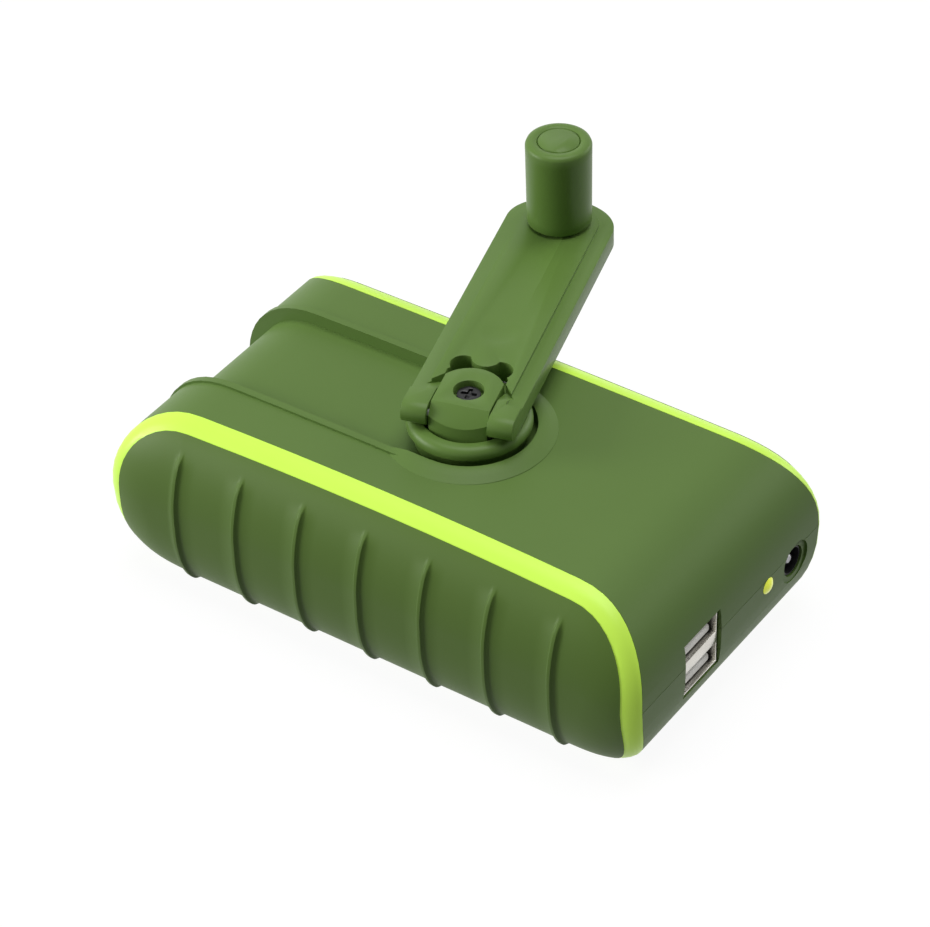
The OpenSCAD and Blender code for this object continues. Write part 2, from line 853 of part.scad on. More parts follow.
led_l = 7;
led_lead = 0.5;
led_dome = 0.7;
module status_led() {
    led_x = body_l / 2 - led_l;
    ball = (led_r * led_r + led_dome * led_dome) / (2 * led_dome);
    dome_steps = 6;
    reach_a = asin(led_r / ball);
    color([0.75, 0.95, 0.1])
    translate([led_x, led_y, socket_z])
        rotate([0, 90, 0])
            rotate_extrude()
                polygon(concat(
                    [[0, 0], [led_r, 0]],
                    [
                        for (k = [dome_steps : -1 : 0])
                            let (a = reach_a * k / dome_steps)
                            [ball * sin(a), led_l - ball + led_dome + ball * cos(a) - play]
                    ]
                ));
    color(steel)
    for (dy = [-led_r / 2, led_r / 2])
        box(
            [led_x + led_lead, led_y + dy - led_lead / 2, board_top],
            [led_x + 2 * led_lead, led_y + dy + led_lead / 2, socket_z - led_r / 2]
        );
}

plate_corner = 3;
module plate(z) {
    box([plate_x0 + plate_corner, plate_y0, z], [plate_x1 - plate_corner, plate_y1, z + plate_t]);
    box([plate_x0, plate_y0 + plate_corner, z], [plate_x1, plate_y1 - plate_corner, z + plate_t]);
    for (x = [plate_x0 + plate_corner, plate_x1 - plate_corner])
        for (y = [plate_y0 + plate_corner, plate_y1 - plate_corner])
            rod(x, y, z, z + plate_t, plate_corner);
}

module plate_bores(z) {
    rod(hub_x, 0, z - over, z + plate_t + over, shaft_r + play);
    for (p = [axle_one, axle_two])
        rod(p[0], p[1], z - over, z + plate_t + over, axle_r);
    rod(rotor[0], rotor[1], z - over, z + plate_t + over, rotor_shaft_r + play);
}

module gearbox_base() {
    color([0.8, 0.8, 0.78])
    difference() {
        union() {
            plate(base_z);
            for (s = gearbox_spots)
                rod(s[0], s[1], base_z, plate_z, post_r);
        }
        plate_bores(base_z);
        for (s = gearbox_spots)
            rod(s[0], s[1], base_z - over, plate_z + over, small_screw_r + play);
    }
}

module gearbox_plate() {
    color([0.8, 0.8, 0.78])
    difference() {
        plate(plate_z);
        plate_bores(plate_z);
        for (s = gearbox_spots)
            rod(s[0], s[1], plate_z - over, plate_top + over, small_screw_r + play);
    }
}

module gearbox_screws() {
    color(steel)
    for (s = gearbox_spots) {
        rod(s[0], s[1], base_z - clear, base_z, 2 * small_screw_r);
        rod(s[0], s[1], base_z, plate_top + small_grip, small_screw_r);
    }
}

module gear_axles() {
    color(steel)
    for (p = [axle_one, axle_two])
        rod(p[0], p[1], base_z, plate_top, axle_r);
}

module generator_can() {
    color(steel)
    translate([rotor[0], rotor[1], 0])
        difference() {
            rod(0, 0, can_z, plate_z, can_r);
            rod(0, 0, can_z - over, plate_z - can_wall, can_r - can_wall);
            rod(0, 0, can_z - over, plate_z + over, rotor_shaft_r + play);
        }
}

module generator_endplate() {
    color([0.15, 0.15, 0.16])
    translate([rotor[0], rotor[1], 0])
        difference() {
            rod(0, 0, can_z, can_z + end_plate_t, can_r - can_wall - play);
            rod(0, 0, can_z - over, can_z + end_plate_t + over, rotor_shaft_r + play);
        }
}

stator_r = 6.6;
coil_count = 9;
coil_w = 2.4;
magnet_r = 6;
module stator_coils() {
    top = plate_z - can_wall - clear;
    low = can_z + end_plate_t;
    rim_r = can_r - can_wall;
    color([0.75, 0.42, 0.2])
    translate([rotor[0], rotor[1], 0])
        difference() {
            union() {
                difference() {
                    rod(0, 0, low, top, rim_r - play);
                    rod(0, 0, low - over, top + over, rim_r - can_wall);
                }
                for (k = [0 : coil_count - 1])
                    rotate(k * 360 / coil_count)
                        box(
                            [stator_r, -coil_w / 2, low + can_wall],
                            [rim_r - can_wall / 2, coil_w / 2, top - can_wall]
                        );
            }
            rod(0, 0, low - over, top + over, stator_r);
        }
}

// Involute gear: half the angle that a tooth takes at radius r
pressure = 25;
function inv(a) = tan(a) * 180 / PI - a;
function half_tooth(teeth, mod, r) =
    let (
        pr = pitch_r(teeth, mod),
        br = pr * cos(pressure),
        a = r > br ? acos(br / r) : 0
    )
    90 / teeth + inv(pressure) - inv(a) - backlash / 2 / pr * 90 / PI;
tip_share = 0.8;
root_share = 1.15;
function gear_outline(teeth, mod, phase) =
    let (
        pr = pitch_r(teeth, mod),
        br = pr * cos(pressure),
        low = pr - root_share * mod,
        tip = pr + tip_share * mod,
        start = max(low, br),
        radii = [low, start + (tip - start) / 4, pr, (pr + tip) / 2, tip]
    )
    [
        for (k = [0 : teeth - 1])
            let (mid = phase + k * 360 / teeth)
            each concat(
                [for (i = [0 : 4]) polar(radii[i], mid - half_tooth(teeth, mod, radii[i]))],
                [for (i = [4 : -1 : 0]) polar(radii[i], mid + half_tooth(teeth, mod, radii[i]))]
            )
    ];

module gear(p, teeth, mod, phase, z0, z1, bore) {
    translate([p[0], p[1], z0])
        difference() {
            linear_extrude(z1 - z0)
                polygon(gear_outline(teeth, mod, phase));
            rod(0, 0, -over, z1 - z0 + over, bore);
        }
}

web_holes = 6;
module drive_gear() {
    wheel_r = pitch_r(drive_teeth, mod_one);
    color([0.9, 0.88, 0.82])
    difference() {
        union() {
            gear(hub, drive_teeth, mod_one, angle_one, drive_z, drive_z + drive_t, shaft_r + play);
            difference() {
                rod(hub_x, 0, drive_z - over, drive_z, 2 * shaft_r);
                rod(hub_x, 0, drive_z - 2 * over, drive_z + over, shaft_r + play);
            }
        }
        for (k = [0 : web_holes - 1])
            translate([hub_x, 0, 0])
                rotate(360 * k / web_holes)
                    rod(wheel_r / 2 + over, 0, drive_z - 2 * over, drive_z + drive_t + over, wheel_r / 6);
    }
}

module compound_gear_one() {
    color([0.92, 0.92, 0.9]) {
        gear(axle_one, pinion_one_teeth, mod_one, angle_one + 180 + 180 / pinion_one_teeth,
            wheel_one_z + wheel_t, drive_z + drive_t + pinion_over, axle_r + play);
        gear(axle_one, wheel_one_teeth, mod_two, angle_two,
            wheel_one_z, wheel_one_z + wheel_t, axle_r + play);
        difference() {
            rod(axle_one[0], axle_one[1], base_z + plate_t + clear, wheel_one_z, axle_r + pinion_over);
            rod(axle_one[0], axle_one[1], base_z, plate_z, axle_r + play);
        }
    }
}

module compound_gear_two() {
    color([0.92, 0.92, 0.9]) {
        gear(axle_two, pinion_two_teeth, mod_two, angle_two + 180 + 180 / pinion_two_teeth,
            wheel_two_z + wheel_t, wheel_one_z + wheel_t + pinion_over, axle_r + play);
        gear(axle_two, wheel_two_teeth, mod_three, angle_three,
            wheel_two_z, wheel_two_z + wheel_t, axle_r + play);
    }
}

module rotor_pinion() {
    color([0.85, 0.7, 0.35])
    gear(rotor, rotor_teeth, mod_three, angle_three + 180 + 180 / rotor_teeth,
        wheel_two_z - clear, wheel_two_z + wheel_t + clear, rotor_shaft_r);
}

module rotor_shaft() {
    color(steel)
    rod(rotor[0], rotor[1], base_z + clear, plate_top - clear, rotor_shaft_r);
}

module rotor_magnet() {
    color([0.3, 0.3, 0.32])
    difference() {
        rod(rotor[0], rotor[1], can_z + end_plate_t + 2 * clear, plate_z - can_wall - 2 * clear, magnet_r);
        rod(rotor[0], rotor[1], can_z, plate_z, rotor_shaft_r);
    }
}

// The crank's own frame: its arm points along +X, and z is 0 at the top of the case
module on_crank() {
    translate([hub_x, 0, body_h])
        rotate(crank_angle)
            children();
}

spigot = 4.2;
spigot_top = 5.6;
shaft_hole_d = 9;
module crank_shaft() {
    color(steel)
    on_crank()
        difference() {
            union() {
                rod(0, 0, base_z + clear - body_h, clear - recess_d, shaft_r);
                box([-spigot / 2, -spigot / 2, -recess_d], [spigot / 2, spigot / 2, spigot_top]);
            }
            rod(0, 0, spigot_top - shaft_hole_d, spigot_top + over, hub_screw_r);
        }
}

hub_screw_r = 1.3;
screw_well_r = 3.3;
screw_well_d = 2.4;
pin_half = arm_w / 2 - 1;

module across(x, y0, y1, z, r) {
    translate([x, y1, z])
        rotate([90, 0, 0])
            cylinder(r = r, h = y1 - y0);
}

// Half section of the flange: neck, rounded upper edge, dish inside it
round_steps = 6;
dish_edge = 0.5;
flange_profile = concat(
    [[0, clear - recess_d], [neck_r, clear - recess_d], [neck_r, neck_h]],
    [[flange_r - dish_edge, neck_h], [flange_r, neck_h + dish_edge]],
    [
        for (k = [0 : round_steps])
            [flange_r - flange_round, flange_h - flange_round]
            + polar(flange_round, 90 * k / round_steps)
    ],
    [[dish_r + dish_edge, flange_h], [dish_r, flange_h - dish_edge], [dish_r, dish_h], [0, dish_h]]
);
chamfer_in = 5.4;
chamfer_l = (dish_r - chamfer_in) * sqrt(2);

module crank_hub() {
    color(olive)
    on_crank()
        difference() {
            union() {
                rotate_extrude()
                    polygon(flange_profile);
                intersection() {
                    rod(block_near_r - block_near, 0, 0, block_h, block_near_r);
                    box([-dish_r, -block_w / 2, 0], [0, block_w / 2, block_h]);
                }
                intersection() {
                    rod(0, 0, 0, block_h, block_far_r);
                    box([-over, -block_w / 2, 0], [dish_r, block_w / 2, block_h]);
                }
            }
            box(
                [-spigot / 2 - play, -spigot / 2 - play, -recess_d],
                [spigot / 2 + play, spigot / 2 + play, spigot_top + play]
            );
            rod(0, 0, spigot_top, block_h + over, hub_screw_r + clear);
            rod(0, 0, block_h - screw_well_d, block_h + over, screw_well_r);
            across(-hinge_back, -block_w, block_w, hinge_h, hinge_pin_r);
            translate([-chamfer_in, 0, block_h])
                rotate([0, -45, 0])
                    box([-chamfer_l, -block_w, 0], [0, block_w, body_w]);
        }
}

head_r = 2.6;
head_h = 1.5;
hub_screw_grip = 8;
cross_share = 1.3;
module hub_screw() {
    color([0.1, 0.1, 0.1])
    on_crank()
        difference() {
            union() {
                rod(0, 0, block_h - screw_well_d, block_h - screw_well_d + head_h, head_r);
                rod(0, 0, spigot_top - hub_screw_grip, block_h - screw_well_d + over / 2, hub_screw_r - play);
            }
            for (a = [0, 90])
                rotate(a)
                    translate([0, 0, block_h - screw_well_d + head_h])
                        cube([head_r * cross_share, head_r * cross_share / 4, head_h], center = true);
        }
}

module hinge_pin() {
    color(steel)
    on_crank()
        across(-hinge_back, -pin_half, pin_half, hinge_h, hinge_pin_r);
}

// The arm from above, seen in the crank's frame: scallops and tongue at the hub, a shallow dimple,
// and a facet beside each barrel that falls from its outer corner towards the slot
scallop_spot = [8.4, 4];
tongue_x = 11.9;
slot_y = block_w / 2 + clear;
panel_y = arm_w / 2 - band_w;
dimple_x = 21;
dimple_r = 4.6;
dimple_ball = 24;
facet_x0 = -2;
facet_x1 = 5.5;
facet_y = 11.8;
facet_d = 2.6;

module arm_plan(width, tip) {
    translate([-hinge_back, -width / 2])
        square([arm_reach + hinge_back, width]);
    translate([arm_reach, 0])
        scale([2 * tip / width, 1])
            circle(r = width / 2);
}

module arm_blank() {
    translate([0, 0, arm_under])
        linear_extrude(arm_top - band_drop - arm_under)
            arm_plan(arm_w, arm_tip);
    translate([0, 0, arm_under])
        linear_extrude(arm_top - arm_under)
            arm_plan(2 * panel_y, arm_tip - band_w / 2);
    box([-hinge_back, -arm_w / 2, arm_under], [facet_x0, arm_w / 2, arm_top]);
    across(-hinge_back, -arm_w / 2, arm_w / 2, hinge_h, barrel_r);
}

module facet(side) {
    high = arm_top + clear;
    scale([1, side, 1])
        polyhedron(
            points = [
                [facet_x0, slot_y - over, high],
                [facet_x0, facet_y, high],
                [facet_x1, slot_y - over, high],
                [facet_x1, slot_y - over, arm_top - facet_d]
            ],
            faces = [[0, 1, 2], [0, 3, 1], [1, 3, 2], [0, 2, 3]]
        );
}

module crank_arm() {
    color(olive)
    on_crank()
        difference() {
            union() {
                difference() {
                    arm_blank();
                    intersection() {
                        rod(0, 0, 0, arm_top + over, cutout_r);
                        box([-cutout_r, -slot_y, 0], [cutout_r, slot_y, arm_top + over]);
                    }
                    box([-hinge_back - barrel_r - over, -slot_y, 0], [0, slot_y, arm_top + over]);
                    for (side = [-1, 1])
                        rod(scallop_spot[0], side * scallop_spot[1], 0, arm_top + over, scallop_r);
                }
                rod(tongue_x, 0, arm_under, arm_top, tongue_r);
            }
            for (side = [-1, 1])
                facet(side);
            translate([dimple_x, 0, arm_top + sqrt(pow(dimple_ball, 2) - pow(dimple_r, 2))])
                sphere(r = dimple_ball);
            across(-hinge_back, -pin_half - play, pin_half + play, hinge_h, hinge_pin_r + play);
            rod(arm_reach, 0, arm_under - over, arm_top + over, knob_axle_r);
        }
}

knob_z = arm_top + knob_gap;
knob_top = knob_z + knob_h;
plug_d = 1.6;
head_room = 5;
knob_head_h = 2;
head_z = knob_top - plug_d - head_room + clear;
knob_soft = 0.3 * knob_round;
module knob_axle() {
    color(steel)
    on_crank() {
        rod(arm_reach, 0, arm_under, head_z, knob_axle_r);
        rod(arm_reach, 0, head_z, head_z + knob_head_h, knob_head_r);
    }
}

ring_w = 0.3;
module knob() {
    color(olive)
    on_crank()
        translate([arm_reach, 0, 0])
            rotate_extrude()
                polygon([
                    [knob_axle_r + play, knob_z],
                    [knob_r - knob_round / 2, knob_z],
                    [knob_r, knob_z + knob_round / 2],
                    [knob_r + knob_flare, knob_top - knob_round],
                    [knob_r + knob_flare - knob_soft, knob_top - knob_soft],
                    [knob_r + knob_flare - knob_round, knob_top],
                    [plug_r + ring_w, knob_top],
                    [plug_r, knob_top - ring_w],
                    [plug_r, knob_top - plug_d],
                    [knob_head_r + play, knob_top - plug_d],
                    [knob_head_r + play, knob_top - plug_d - head_room],
                    [knob_axle_r + play, knob_top - plug_d - head_room]
                ]);
}

module knob_cap() {
    color(olive)
    on_crank()
        translate([arm_reach, 0, 0])
            rotate_extrude()
                polygon([
                    [0, knob_top - plug_d],
                    [plug_r - play, knob_top - plug_d],
                    [plug_r - play, knob_top - ring_w],
                    [plug_r - ring_w, knob_top],
                    [0, knob_top]
                ]);
}

upper_shell();
lower_shell();
trim(-1);  // trim_front
trim(1);  // trim_rear
cap(-1);  // cap_front
cap(1);  // cap_rear
case_screws();
shaft_bush();
battery_cells();
battery_tabs();
battery_leads();
main_board();
board_chips();
board_coil();
board_capacitors();
board_screws();
usb_shell();
usb_tongues();
usb_insulator();
dc_jack_body();
dc_jack_pin();
status_led();
gearbox_base();
gearbox_plate();
gearbox_screws();
gear_axles();
generator_can();
generator_endplate();
stator_coils();
crank_shaft();
drive_gear();
crank_hub();
hub_screw();
hinge_pin();
compound_gear_one();
compound_gear_two();
rotor_shaft();
rotor_magnet();
rotor_pinion();
crank_arm();
knob_axle();
knob();
knob_cap();
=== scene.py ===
"""Hand crank power bank: soft-edged mouldings, their finishes, the studio and the camera."""

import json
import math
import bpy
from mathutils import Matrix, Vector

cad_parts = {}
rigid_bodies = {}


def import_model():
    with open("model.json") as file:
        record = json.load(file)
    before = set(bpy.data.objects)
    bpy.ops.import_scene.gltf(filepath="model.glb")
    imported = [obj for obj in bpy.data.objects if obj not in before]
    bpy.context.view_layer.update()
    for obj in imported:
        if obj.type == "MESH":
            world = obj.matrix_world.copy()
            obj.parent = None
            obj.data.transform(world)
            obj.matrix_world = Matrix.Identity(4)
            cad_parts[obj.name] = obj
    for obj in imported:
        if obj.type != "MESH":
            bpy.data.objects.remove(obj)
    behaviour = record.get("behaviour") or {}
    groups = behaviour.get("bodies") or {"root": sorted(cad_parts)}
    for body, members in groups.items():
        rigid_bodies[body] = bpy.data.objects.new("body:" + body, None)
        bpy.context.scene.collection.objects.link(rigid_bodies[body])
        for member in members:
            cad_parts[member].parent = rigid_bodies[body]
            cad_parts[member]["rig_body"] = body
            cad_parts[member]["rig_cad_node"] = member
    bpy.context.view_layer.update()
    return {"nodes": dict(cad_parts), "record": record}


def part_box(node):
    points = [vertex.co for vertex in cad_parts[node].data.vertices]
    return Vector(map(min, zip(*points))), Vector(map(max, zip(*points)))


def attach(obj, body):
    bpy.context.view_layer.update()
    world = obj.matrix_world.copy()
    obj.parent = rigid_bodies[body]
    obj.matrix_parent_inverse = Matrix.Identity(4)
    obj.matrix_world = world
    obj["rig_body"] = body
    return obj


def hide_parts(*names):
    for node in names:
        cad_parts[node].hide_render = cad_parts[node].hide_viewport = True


bl_info = {
    "name": "Hand Crank Power Bank",
    "version": (1, 0, 0),
    "blender": (4, 5, 0),
    "location": "3D View > Sidebar > Power Bank",
    "description": "Builds the visible pieces and finishes of a hand crank power bank",
    "category": "Object",
}

import bmesh
import bpy
from bpy.props import FloatProperty, FloatVectorProperty, IntProperty, PointerProperty
from bpy.types import Operator, Panel, PropertyGroup
from mathutils import Matrix, Vector

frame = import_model()

MM = 0.001
MERGE = 0.002 * MM  # points nearer than this become one
SHARP = math.radians(28)  # a mesh is shaded smooth across edges flatter than this
SHARP_TRIM = math.radians(40)
SHARP_ROUND = math.radians(50)
FLAT = math.radians(0.4)  # faces that differ less than this are one plane
BEVELLED = math.radians(35)  # edges sharper than this are rounded
QUADS = math.radians(60)  # triangles that differ less than this join up in pairs
TURN_STEPS = 64  # sides of a turned piece

HIDDEN = -0.05  # a cap's face whose normal points this far inwards is behind the trim
RIB_TRUE = 0.01 * MM  # an edge along a rib keeps its X this closely
RIB_REACH = 50 * MM  # the ribs lie within this distance of the middle

FLOOR_SIZE = 8
FLOOR_HEIGHT = -0.2 * MM
STUDIO_CENTRE = Vector((0, 0, 0.02))
LAMPS = (  # name, place, size, and the setting that holds its power
    ("key_light", (0.0, 0.08, 0.9), 0.6, "key"),
    ("left_light", (-0.75, -0.55, 0.3), 0.5, "left"),
    ("rim_light", (0.45, 0.8, 0.35), 0.5, "rim"),
)
CAMERA_PLACE = Vector((355.1, -492.95, 531.56)) * MM

# The sockets of a Mix node that mixes colours, which share their names with hidden ones.
MIX_FACTOR, MIX_FIRST, MIX_SECOND, MIX_RESULT = 0, 6, 7, 2

# At scale 1 a wave texture repeats after 0.31 m, and goes from ridge to groove in half of that.
WHOLE_WAVE, HALF_WAVE = 0.31, 0.16


def linear(code):
    """Linear RGBA of an sRGB hex value."""
    parts = [int(code[i : i + 2], 16) / 255 for i in (1, 3, 5)]
    rgb = [c / 12.92 if c <= 0.04045 else ((c + 0.055) / 1.055) ** 2.4 for c in parts]
    return (*rgb, 1.0)


def colour_prop(name, text, code):
    return FloatVectorProperty(
        name=name, description=text, subtype="COLOR", size=4, min=0, max=1, default=linear(code)
    )


def length_prop(name, text, mm, least, most):
    return FloatProperty(
        name=name,
        description=text,
        unit="LENGTH",
        precision=5,
        default=mm * MM,
        min=least * MM,
        max=most * MM,
    )


def power_prop(name, text, watts):
    return FloatProperty(
        name=name, description=text, unit="POWER", default=watts, min=0, max=50
    )


def angle_prop(name, text, angle):
    return FloatProperty(name=name, description=text, subtype="ANGLE", default=angle)


class PowerBankSizes(PropertyGroup):
    """Sizes of the soft edges and small pieces"""

    arm_edge: length_prop("Arm edge", "Rounding of the crank arm's edges", 0.45, 0.1, 0.8)
    hub_edge: length_prop("Hub edge", "Rounding of the hub's edges", 0.4, 0.1, 0.8)
    screw_edge: length_prop("Screw edge", "Rounding of the screw's edges", 0.21, 0.06, 0.36)
    tongue_edge: length_prop("Tongue edge", "Rounding of the USB tongues' edges", 0.5, 0.1, 0.8)
    sheet_edge: length_prop("Sheet edge", "Rounding of the USB shell's edges", 0.12, 0.05, 0.2)
    mouth_reach: length_prop(
        "Mouth reach", "How far the USB fronts reach past their solids", 1.2, 0.0, 1.8
    )
    nose_length: length_prop("Nose length", "Length of the barrel socket's nose", 3.4, 1.0, 4.0)
    nose_radius: length_prop("Nose radius", "Radius of the barrel socket's nose", 3.5, 3.3, 3.55)
    nose_bore: length_prop("Nose bore", "Radius of the bore in the nose", 3.05, 3.0, 3.2)
    nose_edge: length_prop("Nose edge", "Chamfer of the nose and the pin", 0.2, 0.1, 0.3)
    pin_depth: length_prop("Pin depth", "Distance of the pin's tip behind the nose", 0.6, 0.3, 3.0)
    rib_levels: IntProperty(
        name="Cap smoothness",
        description="Subdivision levels of the side caps",
        default=2,
        min=1,
        max=3,
    )
    rib_crease: FloatProperty(
        name="Rib crease",
        description="How crisp the ribs of the side caps are",
        subtype="FACTOR",
        default=0.9,
        min=0,
        max=1,
    )


class PowerBankColours(PropertyGroup):
    """Colours of the mouldings"""

    shell: colour_prop("Case", "Olive of the case halves", "#5e7b3b")
    shell_cloud: colour_prop("Case cloud", "Second olive of the case halves", "#638040")
    cap: colour_prop("Side caps", "Olive of the side caps", "#56722f")
    cap_cloud: colour_prop("Side cap cloud", "Second olive of the side caps", "#5c7835")
    trim: colour_prop("Trims", "Lime of the two loops", "#c8f652")
    trim_cloud: colour_prop("Trim cloud", "Second lime of the two loops", "#cefa5c")
    crank: colour_prop("Crank", "Olive of the hub, arm and knob", "#5f7e39")
    crank_cloud: colour_prop("Crank cloud", "Second olive of the hub, arm and knob", "#65843f")
    indicator: colour_prop("Indicator", "Yellow green of the indicator", "#e0ec10")


class PowerBankStudio(PropertyGroup):
    """Light and camera"""

    key: power_prop("Key light", "Power of the large light above", 4.9)
    left: power_prop("Left light", "Power of the light on the left", 6.8)
    rim: power_prop("Rim light", "Power of the light behind right", 2.4)
    sky: FloatProperty(
        name="Sky",
        description="Strength of the even light all round",
        default=0.06,
        min=0,
        max=2,
    )
    azimuth: angle_prop("Azimuth", "Camera direction round the object", 0.623)
    elevation: angle_prop("Elevation", "Camera height angle", 0.688)
    roll: angle_prop("Roll", "Camera roll", -0.032)
    lens: FloatProperty(
        name="Lens",
        description="Focal length in millimetres",
        unit="CAMERA",
        default=143.705,
        min=20,
        max=400,
    )


def sizes():
    return bpy.context.scene.power_bank_sizes


def colours():
    return bpy.context.scene.power_bank_colours


def studio():
    return bpy.context.scene.power_bank_studio


def add(tree, kind, settings=None, links=None):
    """Adds a node, sets its properties or unlinked sockets, and links the sockets named."""
    made = tree.nodes.new(kind)
    for key, value in (settings or {}).items():
        if isinstance(key, int) or key in made.inputs:
            made.inputs[key].default_value = value
        else:
            setattr(made, key, value)
    for key, source in (links or {}).items():
        tree.links.new(source, made.inputs[key])
    return made


def repeats(mm):
    """Scale of a pattern whose features are this many millimetres across."""
    return 1 / (mm * MM)


def start_material(name):
    material = bpy.data.materials.new(name)
    material.use_nodes = True
    tree = material.node_tree
    tree.nodes.clear()
    place = add(tree, "ShaderNodeTexCoord").outputs["Object"]
    return material, tree, place


def close_material(tree, settings, links):
    shader = add(tree, "ShaderNodeBsdfPrincipled", settings, links)
    add(tree, "ShaderNodeOutputMaterial", links={"Surface": shader.outputs["BSDF"]})


def moulded_plastic(
    name, first, second, rough, grain_mm=0.45, depth_mm=0.012, gloss=0.3, glow=0.0
):
    """Plastic, mostly ABS, moulded in a spark-eroded tool: an even satin with a fine pebbled grain,
    over a faint cloud of a second shade. The real grain is about 0.1 mm, so it is drawn coarser to
    show. A glow above 0 is a painted glow: emission that lightens a part where it lies in shade."""
    material, tree, place = start_material(name)
    cloud = add(
        tree, "ShaderNodeTexNoise", {"Scale": repeats(26), "Detail": 3.0}, {"Vector": place}
    )
    grain = add(
        tree,
        "ShaderNodeTexNoise",
        {"Scale": repeats(grain_mm), "Roughness": 0.6},
        {"Vector": place},
    ).outputs["Fac"]
    base = add(
        tree,
        "ShaderNodeMix",
        {"data_type": "RGBA", MIX_FIRST: first, MIX_SECOND: second},
        {MIX_FACTOR: cloud.outputs["Fac"]},
    ).outputs[MIX_RESULT]
    shine = add(
        tree,
        "ShaderNodeMapRange",
        {"To Min": rough - 0.05, "To Max": rough + 0.06},
        {"Value": grain},
    )
    bump = add(
        tree, "ShaderNodeBump", {"Strength": 0.35, "Distance": depth_mm * MM}, {"Height": grain}
    )
    close_material(
        tree,
        {"IOR": 1.53, "Specular IOR Level": gloss, "Emission Strength": glow},
        {
            "Base Color": base,
            "Roughness": shine.outputs["Result"],
            "Normal": bump.outputs["Normal"],
            "Emission Color": base,
        },
    )
    return material


def plated_sheet(name, code, mouth, rough=0.24, unshaded_mm=0.3, painted_shade_mm=1.3):
    """Nickel-plated steel sheet, drawn and stamped. Noise stretched along X gives the faint draw
    lines. Its lips are bright, and a little way behind them a painted shade makes it dark, as the
    inside of the socket lies in shade."""
    material, tree, place = start_material(name)
    along = add(tree, "ShaderNodeMapping", {"Scale": (0.06, 1.0, 1.0)}, {"Vector": place})
    lines = add(
        tree,
        "ShaderNodeTexNoise",
        {"Scale": repeats(0.18), "Roughness": 0.7},
        {"Vector": along.outputs["Vector"]},
    ).outputs["Fac"]
    smudge = add(tree, "ShaderNodeTexNoise", {"Scale": repeats(4)}, {"Vector": place})
    bright = add(
        tree,
        "ShaderNodeMix",
        {"data_type": "RGBA", MIX_FIRST: linear(code), MIX_SECOND: linear("#c4c1b9")},
        {MIX_FACTOR: smudge.outputs["Fac"]},
    )
    inwards = add(tree, "ShaderNodeSeparateXYZ", links={"Vector": place})
    # Painted shade: from a little way behind the mouth inwards the plating turns dark (#4a4843), as
    # the inside of the socket lies in shade.
    painted_shade_depth = add(
        tree,
        "ShaderNodeMapRange",
        {"From Min": mouth - painted_shade_mm * MM, "From Max": mouth - unshaded_mm * MM},
        {"Value": inwards.outputs["X"]},
    )
    tint = add(
        tree,
        "ShaderNodeMix",
        {"data_type": "RGBA", MIX_FIRST: linear("#4a4843")},
        {MIX_FACTOR: painted_shade_depth.outputs["Result"], MIX_SECOND: bright.outputs[MIX_RESULT]},
    )
    shine = add(
        tree,
        "ShaderNodeMapRange",
        {"To Min": rough - 0.06, "To Max": rough + 0.12},
        {"Value": lines},
    )
    bump = add(
        tree, "ShaderNodeBump", {"Strength": 0.15, "Distance": 0.004 * MM}, {"Height": lines}
    )
    close_material(
        tree,
        {"Metallic": 1.0},
        {
            "Base Color": tint.outputs[MIX_RESULT],
            "Roughness": shine.outputs["Result"],
            "Normal": bump.outputs["Normal"],
        },
    )
    return material


def turned_metal(name, code, rough=0.3, metallic=1.0, groove_mm=0.25):
    """Bar stock cut on a lathe: fine rings round each turned piece, and a slightly darker stain
    here and there."""
    material, tree, place = start_material(name)
    rings = add(
        tree,
        "ShaderNodeTexWave",
        {
            "bands_direction": "Z",
            "Scale": HALF_WAVE * repeats(groove_mm),
            "Distortion": 0.6,
            "Detail": 1.0,
        },
        {"Vector": place},
    )
    stain = add(
        tree, "ShaderNodeTexNoise", {"Scale": repeats(5)}, {"Vector": place}
    ).outputs["Fac"]
    darkness = add(tree, "ShaderNodeMapRange", {"To Max": 0.18}, {"Value": stain})
    tint = add(
        tree,
        "ShaderNodeMix",
        {"data_type": "RGBA", MIX_FIRST: linear(code), MIX_SECOND: linear("#3a3936")},
        {MIX_FACTOR: darkness.outputs["Result"]},
    )
    shine = add(
        tree,
        "ShaderNodeMapRange",
        {"To Min": rough - 0.05, "To Max": rough + 0.1},
        {"Value": stain},
    )
    bump = add(
        tree,
        "ShaderNodeBump",
        {"Strength": 0.12, "Distance": 0.006 * MM},
        {"Height": rings.outputs["Fac"]},
    )
    close_material(
        tree,
        {"Metallic": metallic},
        {
            "Base Color": tint.outputs[MIX_RESULT],
            "Roughness": shine.outputs["Result"],
            "Normal": bump.outputs["Normal"],
        },
    )
    return material


def enamelled_wire(name, code, wire_mm=0.45):
    """Enamelled copper wound round a core: round turns side by side under a clear varnish."""
    material, tree, place = start_material(name)
    turns = add(
        tree,
        "ShaderNodeTexWave",
        {"bands_direction": "Z", "Scale": WHOLE_WAVE * repeats(wire_mm), "Distortion": 0.25},
        {"Vector": place},
    ).outputs["Fac"]
    # Painted shade: each wave runs dark brown (#3f1808) in the grooves between the round turns.
    tint = add(
        tree,
        "ShaderNodeMix",
        {"data_type": "RGBA", MIX_FIRST: linear("#3f1808"), MIX_SECOND: linear(code)},
        {MIX_FACTOR: turns},
    )
    bump = add(
        tree, "ShaderNodeBump", {"Strength": 0.8, "Distance": 0.15 * MM}, {"Height": turns}
    )
    close_material(
        tree,
        {"Metallic": 0.8, "Roughness": 0.3, "Coat Weight": 0.6},
        {"Base Color": tint.outputs[MIX_RESULT], "Normal": bump.outputs["Normal"]},
    )
    return material


